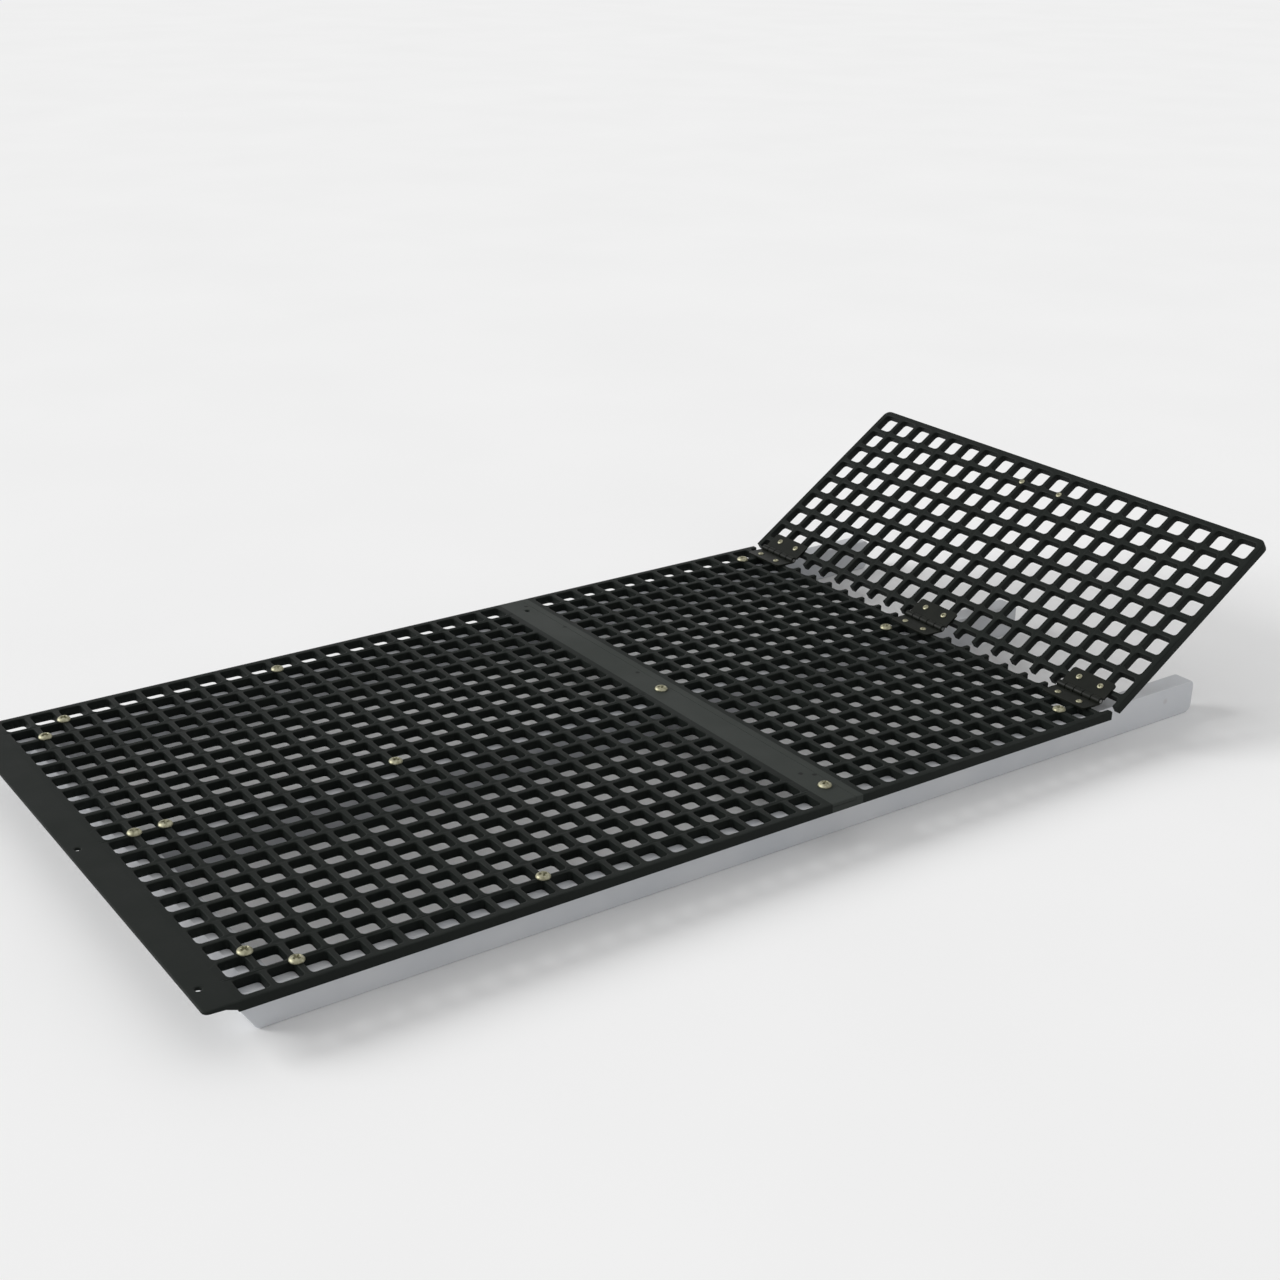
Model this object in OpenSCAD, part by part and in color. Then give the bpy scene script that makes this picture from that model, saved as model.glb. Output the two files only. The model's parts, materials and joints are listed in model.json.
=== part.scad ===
// Grating deck on three rails, with an end flap on butt hinges.
// X runs along the rails, Y runs across them, and Z = 0 is the floor.
// X = 0, Y = 0 is the middle hole of the lap that joins the two deck panels.

/* [Grating] */
// Distance between the centre lines of neighbouring bars
pitch = 25; // [24:0.5:27]
// Width of a bar
bar_w = 5; // [4:0.5:6]
// How far a panel's outer bars stand out past their centre line
rim_out = 3.5; // [3:0.5:4]
// Depth of the bars
grid_t = 8; // [7:0.5:10]
// Size of the 45 degree corners of an opening
corner = 2.5; // [1:0.5:4]
// Openings across a panel
cells_y = 20; // [20:2:24]
// Openings along an uncut panel
cells_x = 20; // [16:1:24]
// Whole openings left along the sawn deck panel, which gives its rest to the flap
cut_cells = 11; // [9:1:13]

/* [End margins] */
// Reach of a panel's solid margin past the centre line of its end bar
margin = 28; // [26:1:30]
// Distance from the centre line of the end bar to the row of margin holes
hole_in = 19.5; // [19:0.5:20]
// Radius of a margin hole
hole_r = 2.5; // [2:0.25:3]
// Thickness of a margin at its edge, and of each lapped margin
margin_t = 2.4; // [2:0.2:2.6]
// Thickness of the free margin half a cell out from its end bar
margin_mid = 3.2; // [2.6:0.2:4]
// Thickness of the free margin where it meets its end bar
margin_root = 6.5; // [4:0.5:7]
// Radius of the two corners of the free margin
margin_r = 4; // [2:0.5:8]

/* [Flap] */
// Angle of the flap above level
flap_angle = 34.5; // [0:0.5:120]
// Width of the saw cut that parts the flap from its deck panel
kerf = 1.4; // [1:0.2:3]
// Radius of the two free corners of the flap
flap_r = 7; // [3:0.5:10]

/* [Rails] */
// Height of a rail
rail_h = 32; // [28:1:40]
// Width of a rail
rail_w = 19; // [15:1:21]
// How far the rails reach past the hinge pins, under the lowered flap
rail_reach = 131; // [100:1:160]
// Length along the rail of its slanted lower end
slant = 20; // [10:1:24]
// Radius at the foot of the slanted end and of the upper far corner
rail_r = 6; // [4:0.5:8]
// Radius of the lower far corner
toe_r = 8; // [6:1:12]

/* [Hinges] */
// Length of a hinge along its pin
hinge_w = 50; // [46:1:54]
// Reach of a leaf from the pin
leaf_reach = 22; // [20:0.5:24]
// Thickness of a leaf
leaf_t = 2; // [1.6:0.2:2.2]
// Outer radius of the knuckles
knuckle_r = 3.2; // [3:0.1:3.4]
// Radius of the pin
pin_r = 1.5; // [1.2:0.1:1.7]
// Radius of a screw hole in a leaf
leaf_hole_r = 2.2; // [1.8:0.1:2.5]

/* [Hidden] */

$fn = 64;
over = 1;                 // how far a cutting tool runs past what it cuts
running = 0.05;           // radial clearance of a turning knuckle on its pin
knuckles = 5;             // knuckles in a hinge, shared in turn by its two leaves
knuckle_gap = 0.4;        // side gap between neighbouring knuckles
flap_lift = 0.4;          // gap left between the lowered flap and the rails
saw_gap = 2.2;            // distance from the pin's centre line to each sawn edge
lap_play = 0.2;           // end gap between the lapped margin and the step behind it
leaf_r = 3;               // radius of a leaf's free corners

width = cells_y * pitch;
half_w = width / 2 + rim_out;
deck_top = rail_h + grid_t;
half_cell = pitch / 2;
stub = (pitch - kerf) / 2;                    // from a bar to the sawn edge beside it

full_x0 = -hole_in - cells_x * pitch;         // centre line of the full panel's first bar
full_x1 = -hole_in;                           // and of its last bar
sawn_x0 = hole_in;                            // centre line of the sawn panel's first bar
sawn_end = sawn_x0 + cut_cells * pitch + stub;
pin_x = sawn_end + saw_gap;
pin_z = deck_top + knuckle_r;
flap_rows = cells_x - cut_cells - 1;          // whole openings along the flap
flap_bar = saw_gap + stub;                    // from the pin to the flap's first bar
flap_end = flap_bar + flap_rows * pitch + rim_out;
flap_top = -knuckle_r + flap_lift;            // flap's upper face, measured from the pin

rail_y = (cells_y / 2 - 1) * pitch;           // outer rails lie under the first bar in
rail_x0 = full_x0 - rim_out;
rail_x1 = pin_x + rail_reach;
batten_x = full_x0 + pitch;                   // batten lies under the second bar
hinge_ys = [-rail_y + half_cell, -half_cell, rail_y - half_cell];
knuckle_w = hinge_w / knuckles;

grating_colour = [0.09, 0.10, 0.09];
rail_colour = [0.78, 0.79, 0.81];
hinge_colour = [0.12, 0.12, 0.11];
pin_colour = [0.45, 0.45, 0.44];

// ---- grating ----

// Prism that cuts one opening: a square with its corners taken off.
module opening() {
    a = (pitch - bar_w) / 2;
    b = a - corner;
    linear_extrude(grid_t + 2 * over)
        polygon([[-b, -a], [b, -a], [a, -b], [a, b], [b, a], [-b, a], [-a, b], [-a, -b]]);
}

// Openings of n columns, the first one right of the bar at x0.
module openings(x0, n) {
    for (i = [0 : n - 1], j = [0 : cells_y - 1])
        translate([x0 + (i + 0.5) * pitch, (j + 0.5) * pitch - width / 2, -over])
            opening();
}

// Slab across the panel's width from x0 to x1 and from z0 to z1.
module slab(x0, x1, z0, z1) {
    translate([x0, -half_w, z0]) cube([x1 - x0, 2 * half_w, z1 - z0]);
}

// Row of margin holes at x.
module margin_holes(x) {
    for (y = [-rail_y, 0, rail_y])
        translate([x, y, -over]) cylinder(h = grid_t + 2 * over, r = hole_r);
}

// Takes the corners off the end at x; side is -1 for a left end and 1 for a right one.
module rounded_end(x, side, r) {
    for (s = [-1, 1])
        translate([x - side * r, s * (half_w - r), -over])
            difference() {
                scale([side, s, 1]) cube([r + over, r + over, grid_t + 2 * over]);
                cylinder(h = grid_t + 2 * over, r = r);
            }
}

// Uncut panel. Its left margin is free and tapers, and its right one laps over the sawn panel's.
module full_panel() {
    edge = full_x0 - margin;
    root = full_x0 - rim_out;
    color(grating_colour) translate([0, 0, rail_h]) difference() {
        union() {
            slab(root, full_x1 + rim_out, 0, grid_t);
            translate([0, half_w, 0]) rotate([90, 0, 0]) linear_extrude(2 * half_w)
                polygon([[edge, grid_t], [edge, grid_t - margin_t], [full_x0 - half_cell, grid_t - margin_mid],
                         [root, grid_t - margin_root], [root + over, grid_t - margin_root], [root + over, grid_t]]);
            slab(full_x1, full_x1 + margin, grid_t - margin_t, grid_t);
        }
        openings(full_x0, cells_x);
        margin_holes(full_x0 - hole_in);
        margin_holes(full_x1 + hole_in);
        rounded_end(edge, -1, margin_r);
    }
}

// Deck part of the sawn panel: its left margin is pressed down under the full panel's,
// and the sawn right edge leaves half openings.
module sawn_panel() {
    lap_top = grid_t - margin_t;
    tongue = sawn_x0 - margin;
    step_x = full_x1 + margin + lap_play;
    cheek_x = full_x1 + rim_out + lap_play;
    color(grating_colour) translate([0, 0, rail_h]) difference() {
        union() {
            slab(sawn_x0 - rim_out, sawn_end, 0, grid_t);
            slab(step_x, sawn_x0, lap_top - margin_t, grid_t);
            slab(tongue, sawn_x0, lap_top - margin_t, lap_top);
            for (s = [-1, 1])
                translate([cheek_x, s * (half_w - rim_out) - rim_out, 0])
                    cube([sawn_x0 - cheek_x, 2 * rim_out, lap_top]);
        }
        openings(sawn_x0, cut_cells + 1);
        margin_holes(sawn_x0 - hole_in);
    }
}

// Flap part of the sawn panel, drawn level with its pin at the origin.
module level_flap() {
    translate([0, 0, flap_top - grid_t]) difference() {
        slab(saw_gap, flap_end, 0, grid_t);
        openings(flap_bar - pitch, flap_rows + 1);
        rounded_end(flap_end, 1, flap_r);
    }
}

// Moves what is drawn level about the pin to the flap's place.
module at_flap() {
    translate([pin_x, 0, pin_z]) rotate([0, -flap_angle, 0]) children();
}

module flap_panel() {
    color(grating_colour) at_flap() level_flap();
}

// ---- rails ----

// Side view of a rail that starts at x0. A slanted end has a rounded foot.
module rail_outline(x0, slanted) {
    foot = slanted ? x0 + slant : x0;
    lean = atan2(rail_h, slant);
    difference() {
        polygon([[x0, rail_h], [foot, 0], [rail_x1, 0], [rail_x1, rail_h]]);
        if (slanted) foot_corner(foot, lean);
        square_corner(rail_x1, 0, -1, 1, toe_r);
        square_corner(rail_x1, rail_h, -1, -1, rail_r);
    }
}

// Cuts a right-angled corner at [x, z] round; sx and sz point into the rail.
module square_corner(x, z, sx, sz, r) {
    translate([x + sx * r, z + sz * r]) difference() {
        scale([-sx, -sz]) square(r + over);
        circle(r);
    }
}

// Cuts the blunt corner between the slanted end and the underside round.
module foot_corner(foot, lean) {
    reach = rail_r / tan((180 - lean) / 2);
    centre = [foot + reach, rail_r];
    difference() {
        polygon([[foot, 0], [foot - reach * cos(lean), reach * sin(lean)], centre, [foot + reach, 0]]);
        translate(centre) circle(rail_r);
    }
}

module rail(x0, slanted, y) {
    color(rail_colour) translate([0, y + rail_w / 2, 0]) rotate([90, 0, 0])
        linear_extrude(rail_w) rail_outline(x0, slanted);
}

module near_rail() { rail(rail_x0, true, -rail_y); }
module far_rail() { rail(rail_x0, true, rail_y); }

// The middle rail butts against the batten.
module middle_rail() { rail(batten_x + rail_w / 2, false, 0); }

// Batten across the left end, between the outer rails.
module end_batten() {
    span = 2 * rail_y - rail_w;
    color(rail_colour) translate([batten_x - rail_w / 2, -span / 2, 0]) cube([rail_w, span, rail_h]);
}

// ---- hinges ----

// Tube of knuckle k, about a pin along Y at the origin.
module knuckle(k) {
    y0 = -hinge_w / 2 + k * knuckle_w + knuckle_gap / 2;
    translate([0, y0, 0]) rotate([-90, 0, 0]) cylinder(h = knuckle_w - knuckle_gap, r = knuckle_r);
}

// Leaf that reaches along +X with its underside at z = base.
// Knuckles of parity own belong to it, and bore is the radius of their hole.
module leaf(own, base, bore) {
    clear = knuckle_r + knuckle_gap;
    difference() {
        union() {
            translate([clear, -hinge_w / 2, base]) cube([leaf_reach - clear - leaf_r, hinge_w, leaf_t]);
            translate([clear, -hinge_w / 2 + leaf_r, base]) cube([leaf_reach - clear, hinge_w - 2 * leaf_r, leaf_t]);
            for (s = [-1, 1])
                translate([leaf_reach - leaf_r, s * (hinge_w / 2 - leaf_r), base]) cylinder(h = leaf_t, r = leaf_r);
            for (k = [0 : knuckles - 1]) if (k % 2 == own) {
                knuckle(k);
                translate([0, -hinge_w / 2 + k * knuckle_w + knuckle_gap / 2, base])
                    cube([clear + over, knuckle_w - knuckle_gap, leaf_t]);
            }
        }
        rotate([90, 0, 0]) cylinder(h = hinge_w + 2 * over, r = bore, center = true);
        for (s = [-1, 1])
            translate([flap_bar, s * half_cell, base - over]) cylinder(h = leaf_t + 2 * over, r = leaf_hole_r);
    }
}

module deck_leaf(y) {
    color(hinge_colour) translate([pin_x, y, pin_z]) rotate([0, 0, 180]) leaf(0, -knuckle_r, pin_r);
}

module flap_leaf(y) {
    color(hinge_colour) at_flap() translate([0, y, 0]) leaf(1, flap_top, pin_r + running);
}

module pin(y) {
    color(pin_colour) translate([pin_x, y - hinge_w / 2, pin_z]) rotate([-90, 0, 0])
        cylinder(h = hinge_w, r = pin_r);
}

full_panel();
sawn_panel();
flap_panel();
near_rail();
middle_rail();
far_rail();
end_batten();
for (h = [0 : 2]) {
    place = ["near", "middle", "far"][h];
    deck_leaf(hinge_ys[h]);
    flap_leaf(hinge_ys[h]);
    pin(hinge_ys[h]);
}
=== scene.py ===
# %% [markdown]
# # A grating deck with a hinged flap
#
# The object is a walking deck of black moulded grid panels on light grey rails. At its
# right end a strip of panel has been sawn off and hung on three butt hinges, so it swings.
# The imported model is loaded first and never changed. Every detailed piece below is built
# around it, in the same place and at the same size, and rides on one of its two bodies.

# %% Load the frame
import json
import math

import bmesh
import bpy
from mathutils import Matrix, Vector

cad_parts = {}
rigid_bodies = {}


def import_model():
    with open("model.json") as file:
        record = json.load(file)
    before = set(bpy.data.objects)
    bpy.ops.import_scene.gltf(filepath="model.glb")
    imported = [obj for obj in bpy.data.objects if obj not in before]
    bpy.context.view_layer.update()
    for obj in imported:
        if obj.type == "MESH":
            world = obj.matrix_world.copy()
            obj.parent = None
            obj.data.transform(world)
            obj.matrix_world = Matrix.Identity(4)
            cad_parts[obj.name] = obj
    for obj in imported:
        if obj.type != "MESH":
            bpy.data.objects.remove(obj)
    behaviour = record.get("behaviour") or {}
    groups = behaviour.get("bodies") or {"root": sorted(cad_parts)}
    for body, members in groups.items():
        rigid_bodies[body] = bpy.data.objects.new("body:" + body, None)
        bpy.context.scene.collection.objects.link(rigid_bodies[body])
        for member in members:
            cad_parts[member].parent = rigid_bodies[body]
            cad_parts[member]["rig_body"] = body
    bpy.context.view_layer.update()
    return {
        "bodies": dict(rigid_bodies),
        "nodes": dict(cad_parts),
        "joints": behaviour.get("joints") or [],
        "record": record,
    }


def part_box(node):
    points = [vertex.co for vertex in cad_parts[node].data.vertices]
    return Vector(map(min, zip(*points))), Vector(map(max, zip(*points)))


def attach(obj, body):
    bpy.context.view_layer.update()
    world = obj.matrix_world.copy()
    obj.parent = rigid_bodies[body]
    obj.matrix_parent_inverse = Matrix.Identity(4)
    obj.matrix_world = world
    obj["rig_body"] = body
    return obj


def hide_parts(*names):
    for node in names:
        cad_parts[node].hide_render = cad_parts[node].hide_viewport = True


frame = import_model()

for body in frame["bodies"]:
    riders = sorted(n for n, o in frame["nodes"].items() if o["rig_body"] == body)
    print(f"body {body}: {', '.join(riders)}")

# %% [markdown]
# ## The camera
#
# The camera stands at the near left corner, about seven hundred and forty millimetres above
# the floor, and looks down along the deck. Its place and the two directions it faces are
# enough to fix it: the third direction is their cross product. A matrix built from the
# three as columns is simpler to read than three angles, and it keeps the slight roll. The
# small shift sets the view a little to one side.

# %% Place the camera
CAMERA_AT = Vector((-0.9236, -1.2466, 0.7364))
LOOKS_ALONG = Vector((0.5216, 0.7607, -0.3862))
CAMERA_UP = Vector((0.2079, 0.3257, 0.9223))
LENS_MM = 53.29
SHIFT_X = 0.0324

scene = bpy.context.scene
camera_data = bpy.data.cameras.new("camera")
camera_data.lens = LENS_MM
camera_data.shift_x = SHIFT_X
camera = bpy.data.objects.new("camera", camera_data)
scene.collection.objects.link(camera)
back = -LOOKS_ALONG.normalized()
right = CAMERA_UP.cross(back).normalized()
up = back.cross(right)
camera.matrix_world = Matrix.Translation(CAMERA_AT) @ Matrix((right, up, back)).transposed().to_4x4()
scene.camera = camera
print(f"camera roll {math.degrees(math.asin(right.z)):.1f} degrees, lens {LENS_MM} mm")

# %% [markdown]
# ## Sizes
#
# Outlines are drawn in millimetres, because that is how a maker reads them and because a
# filled curve keeps its small arcs better at that size. The long sizes come from the boxes
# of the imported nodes. Only the moulding's own details are named here: the spacing of its
# bars, their width, the radius in the corners of its openings, and how round its edges are.

# %% Sizes of the grating and its frame
METRE = 1000.0
PITCH = 25.0
BAR = 5.0
OPENING_R = 3.0
MOULD_EDGE = 1.7
CROWN = 0.65
UNDER_EDGE = 0.2
SADDLE = 0.4
MOULD_STEPS = 2
COLUMNS = 20
MARGIN_W = 28.0


def box_mm(node):
    """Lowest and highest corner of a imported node, in millimetres."""
    low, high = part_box(node)
    return low * METRE, high * METRE


full_low, full_high = box_mm("full_panel")
sawn_low, sawn_high = box_mm("sawn_panel")
rail_low, rail_high = box_mm("near_rail")
half_width = full_high.y
deck_top = full_high.z
deck_under = full_low.z
grid_depth = deck_top - deck_under
rim_out = half_width - COLUMNS / 2 * PITCH
print(f"deck {grid_depth:.1f} mm deep, {2 * half_width:.0f} mm wide, rim {rim_out:.1f} mm past its bar")

# %% [markdown]
# ## Flat stock cut to an outline
#
# Nearly everything here is flat stock: the moulded panels, the rails seen from the side and
# the hinge leaves. A two-dimensional curve does this in one step. It fills the space
# between an outer outline and any number of holes, gives it depth, and rounds every edge
# with its bevel. Modelling the openings one by one, or cutting them with booleans, would
# take far longer and leave untidy edges. The curve's offset pulls the outline in by as
# much as the bevel pushes it out, so the piece keeps its true size.

# %% Helpers for outlines and plates
MERGE_WITHIN = 0.01


def arc(centre, radius, start, end, steps):
    """Points on an arc, from start to end in degrees."""
    return [(centre[0] + radius * math.cos(math.radians(start + (end - start) * k / steps)),
             centre[1] + radius * math.sin(math.radians(start + (end - start) * k / steps)))
            for k in range(steps + 1)]


def rounded_rectangle(low, high, radii, steps=4):
    """Outline from the low corner to the high one. Radii go anticlockwise from the low corner."""
    corners = [(low[0], low[1], 180), (high[0], low[1], 270),
               (high[0], high[1], 0), (low[0], high[1], 90)]
    points = []
    for (x, y, start), radius in zip(corners, radii):
        if radius == 0:
            points.append((x, y))
            continue
        centre = (x + radius * (1 if x == low[0] else -1), y + radius * (1 if y == low[1] else -1))
        points += arc(centre, radius, start, start + 90, steps)
    return points


def circle(centre, radius, steps=24):
    """Closed outline of a round hole."""
    return arc(centre, radius, 0, 360, steps)[:-1]


def plate(name, outlines, depth, edge, steps=1):
    """Mesh of a plate between z = 0 and depth. The first outline is its rim, the rest are holes."""
    curve = bpy.data.curves.new(name, "CURVE")
    curve.dimensions = "2D"
    curve.fill_mode = "BOTH"
    curve.extrude = depth / 2 - edge
    curve.bevel_depth = edge
    curve.bevel_resolution = steps
    curve.offset = -edge
    for outline in outlines:
        spline = curve.splines.new("POLY")
        spline.points.add(len(outline) - 1)
        for point, (x, y) in zip(spline.points, outline):
            point.co = (x, y, 0, 1)
        spline.use_cyclic_u = True
    drawn = bpy.data.objects.new(name, curve)
    scene.collection.objects.link(drawn)
    bpy.context.view_layer.update()
    shown = drawn.evaluated_get(bpy.context.evaluated_depsgraph_get())
    mesh = bpy.data.meshes.new_from_object(shown)
    bpy.data.objects.remove(drawn)
    mesh.name = name
    mesh.transform(Matrix.Translation((0, 0, depth / 2)))
    solid = bmesh.new()
    solid.from_mesh(mesh)
    bmesh.ops.remove_doubles(solid, verts=solid.verts, dist=MERGE_WITHIN)
    bmesh.ops.recalc_face_normals(solid, faces=solid.faces)
    solid.to_mesh(mesh)
    solid.free()
    return mesh


length, width, depth, radius, edge = 20, 10, 3, 2, 0.4
trial = plate("trial", [rounded_rectangle((0, 0), (length, width), (radius,) * 4),
                        circle((length / 2, width / 2), radius)], depth, edge)
spans = [max(v.co[k] for v in trial.vertices) - min(v.co[k] for v in trial.vertices) for k in range(3)]
print(f"a trial plate of {length} by {width} by {depth} measures", [round(s, 3) for s in spans])
bpy.data.meshes.remove(trial)

# %% [markdown]
# ## The moulding
#
# All three grid panels come from one moulding: a lattice of square openings with rounded
# corners. `lattice` lists those openings. The panels differ in what surrounds the lattice,
# such as a solid margin, and in where they were sawn. A margin is thinner than the grid, so
# after the plate is made its underside is lifted there. `shape_faces` first slices the mesh
# along the lines where the thickness changes, then moves each point by a rule of its place.
# The plate comes with all its edges equally round, but a bar of a moulding has a low crown on
# top and is nearly sharp below. Pressing the round edges flatter gives both, because only
# their height has to change. The bars that run along the deck also lie a little lower than
# the bars across it, which reach from side to side as one ridge: `saddle` sinks them.

# %% Helpers for the moulding
SLICE = 0.1
SADDLE_INSET = 0.1
ON_PLANE = 1e-4
OPENING_STEPS = 3


def lattice(first_bar, columns):
    """Outlines of the openings right of first_bar, in as many columns as asked."""
    half = (PITCH - BAR) / 2
    centres = [(first_bar + (i + 0.5) * PITCH, (j + 0.5 - COLUMNS / 2) * PITCH)
               for i in range(columns) for j in range(COLUMNS)]
    return [rounded_rectangle((x - half, y - half), (x + half, y + half), (OPENING_R,) * 4,
                              OPENING_STEPS)
            for x, y in centres]


def slice_at(solid, point, normal, faces=None):
    """Adds a row of edges where a plane meets the mesh, or only the given faces of it."""
    chosen = set(faces if faces is not None else solid.faces)
    edges = {e for f in chosen for e in f.edges}
    verts = {v for f in chosen for v in f.verts}
    bmesh.ops.bisect_plane(solid, geom=list(verts) + list(edges) + list(chosen), dist=ON_PLANE,
                           plane_co=point, plane_no=normal)


def between(value, start, end):
    """Share of the way from start to end, held between 0 and 1."""
    return min(1.0, max(0.0, (value - start) / (end - start)))


def level(x, y):
    """Rule for a face that stays where it is."""
    return 0.0


def saddle(x, y, first_bar, last_bar):
    """How far the deck sinks between the bars across it. The rim and the margins stay level."""
    if not first_bar < x < last_bar or abs(y) > (COLUMNS - 0.5) * PITCH / 2:
        return 0.0
    from_bar = abs((x - first_bar + PITCH / 2) % PITCH - PITCH / 2)
    return SADDLE * between(from_bar, BAR / 2 + SADDLE_INSET, BAR / 2 + OPENING_R - SADDLE_INSET)


def shape_faces(mesh, breaks=(), lift_under=level, drop_top=level):
    """Slices at each x in breaks, then lifts the underside and drops the top by rules of (x, y)."""
    solid = bmesh.new()
    solid.from_mesh(mesh)
    for x in breaks:
        slice_at(solid, (x, 0, 0), (1, 0, 0))
    middle = grid_depth / 2
    for v in solid.verts:
        if v.co.z < middle:
            v.co.z = v.co.z * UNDER_EDGE / MOULD_EDGE + lift_under(v.co.x, v.co.y)
        else:
            v.co.z = grid_depth - (grid_depth - v.co.z) * CROWN / MOULD_EDGE - drop_top(v.co.x, v.co.y)
    solid.to_mesh(mesh)
    solid.free()


def saw(mesh, x, keep):
    """Saws the plate through at x and closes the cut. Keep is -1 for the left part, 1 for the right."""
    solid = bmesh.new()
    solid.from_mesh(mesh)
    everything = solid.verts[:] + solid.edges[:] + solid.faces[:]
    bmesh.ops.bisect_plane(solid, geom=everything, dist=ON_PLANE, plane_co=(x, 0, 0),
                           plane_no=(-keep, 0, 0), clear_outer=True)
    rim = [e for e in solid.edges if e.is_boundary]
    bmesh.ops.holes_fill(solid, edges=rim, sides=0)
    solid.to_mesh(mesh)
    solid.free()


print(len(lattice(0.0, COLUMNS)), "openings in a whole panel")

# %% [markdown]
# ## Marks for the materials
#
# Two things about a moulding can't be guessed from a point's place alone: whether a face
# belongs to a rounded edge, where wear shows first, and how much a smooth margin is tinted
# lighter, by its own lighter tone together with painted sheen for the reflection it catches.
# Both are stored on the mesh as attributes while the panel still lies flat, and the material
# reads them by name. They stay right when the flap is later turned into its place.

# %% Finish a mesh into a piece
STEEP = 0.1
FLAT = 0.97
SHARP_FROM = 40.0

finish_of = {row["node"]: row["material_slot"] for row in frame["record"]["subparts"]}
print(len(finish_of), "packed nodes have a finish in the record")


def mark_faces(mesh, margin_tone_and_sheen=lambda x: 0.0):
    """Stores 'edge' and 'margin' on the faces of a flat plate; 'margin' holds tone and painted sheen."""
    edge = mesh.attributes.new("edge", "FLOAT", "FACE")
    margin = mesh.attributes.new("margin", "FLOAT", "FACE")
    for face in mesh.polygons:
        slope = abs(face.normal.z)
        edge.data[face.index].value = 1.0 if STEEP < slope < FLAT else 0.0
        margin.data[face.index].value = margin_tone_and_sheen(face.center.x)


def finish_piece(name, mesh, place, body, slot, *nodes):
    """Turns a mesh in millimetres into a piece in metres that rides on a body and replaces nodes."""
    mesh.transform(Matrix.Scale(1 / METRE, 4) @ place)
    solid = bmesh.new()
    solid.from_mesh(mesh)
    bmesh.ops.recalc_face_normals(solid, faces=solid.faces)
    open_edges = sum(not e.is_manifold for e in solid.edges)
    solid.to_mesh(mesh)
    solid.free()
    mesh.polygons.foreach_set("use_smooth", [True] * len(mesh.polygons))
    mesh.set_sharp_from_angle(angle=math.radians(SHARP_FROM))
    piece = bpy.data.objects.new(name, mesh)
    scene.collection.objects.link(piece)
    weights = piece.modifiers.new("weighted normals", "WEIGHTED_NORMAL")
    weights.keep_sharp = True
    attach(piece, body)
    finish_of[name] = slot
    if nodes:
        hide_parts(*nodes)
    mesh.calc_loop_triangles()
    print(f"{name}: {len(mesh.loop_triangles)} triangles, {open_edges} open edges")
    return piece

# %% [markdown]
# ## The full deck panel
#
# The full panel keeps both solid margins. The left one is free: it tapers from the depth of
# a rib to a thin lip, and has three open screw holes. The right one is thin throughout, because
# it lies on top of the next panel's.

# %% Build the full panel
HOLE_IN = 19.5
HOLE_R = 2.5
LIP = 2.4
MID_LIP = 3.2
ROOT_LIP = 6.5
MARGIN_R = 4.0
TRIM = 5.0
OUTER_HOLE_Y = 9 * PITCH
# Strength of the margin tint, which is the margins' own lighter tone plus painted sheen: strong on the lap,
# a trace on the free margin.
LAP_TONE_AND_SHEEN = 0.8
FREE_TONE_AND_SHEEN = 0.04

full_last_bar = full_high.x - MARGIN_W
full_first_bar = full_last_bar - COLUMNS * PITCH
hole_rows = (-OUTER_HOLE_Y, 0.0, OUTER_HOLE_Y)


def holes_at(x):
    """Outlines of the three screw holes of a margin."""
    return [circle((x, y), HOLE_R) for y in hole_rows]


def full_lift(x, y):
    """How far the underside of the full panel lies above the underside of its bars."""
    root = full_first_bar - rim_out
    middle = full_first_bar - PITCH / 2
    if x > full_last_bar + rim_out:
        return grid_depth - LIP
    if x >= root:
        return 0.0
    if x > middle:
        return grid_depth - MID_LIP - (ROOT_LIP - MID_LIP) * between(x, middle, root - SLICE)
    return grid_depth - LIP - (MID_LIP - LIP) * between(x, full_low.x, middle)


def full_tone_and_sheen(x):
    """Tint of the margins: the lap's own lighter tone plus painted sheen for the reflection it catches."""
    if x > full_last_bar + rim_out:
        return LAP_TONE_AND_SHEEN
    return FREE_TONE_AND_SHEEN if x < full_first_bar - rim_out else 0.0


full_rim = rounded_rectangle((full_low.x, -half_width), (full_high.x + TRIM, half_width),
                             (MARGIN_R, 0, 0, MARGIN_R))
full_mesh = plate("full_panel_detail",
                  [full_rim] + lattice(full_first_bar, COLUMNS)
                  + holes_at(full_first_bar - HOLE_IN) + holes_at(full_last_bar + HOLE_IN),
                  grid_depth, MOULD_EDGE, MOULD_STEPS)
full_root = full_first_bar - rim_out
shape_faces(full_mesh,
            (full_first_bar - PITCH / 2, full_root - SLICE, full_root,
             full_last_bar + rim_out, full_last_bar + rim_out + SLICE),
            full_lift, lambda x, y: saddle(x, y, full_first_bar, full_last_bar))
saw(full_mesh, full_high.x, -1)
mark_faces(full_mesh, full_tone_and_sheen)
finish_piece("full_panel_detail", full_mesh, Matrix.Translation((0, 0, deck_under)),
             "deck", "black_plastic", "full_panel")

# %% [markdown]
# ## The sawn deck panel
#
# The second panel starts under the first one's lip: its own margin is pressed down by one
# thickness, and only the two side cheeks keep their full depth. It is drawn one spacing of
# the bars too long and then sawn through the middle of a row of openings, as the real one
# was. The saw leaves square stubs of bar, a comb, along the hinge line.

# %% Build the sawn panel
STEP_GAP = 0.2

sawn_first_bar = HOLE_IN
sawn_columns = math.ceil((sawn_high.x - sawn_first_bar) / PITCH)
tongue_x = sawn_first_bar - (full_high.x - full_last_bar)
step_x = full_high.x + STEP_GAP
cheek_y = half_width - 2 * rim_out


def is_cheek(y):
    return abs(y) > cheek_y + SLICE / 2


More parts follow.
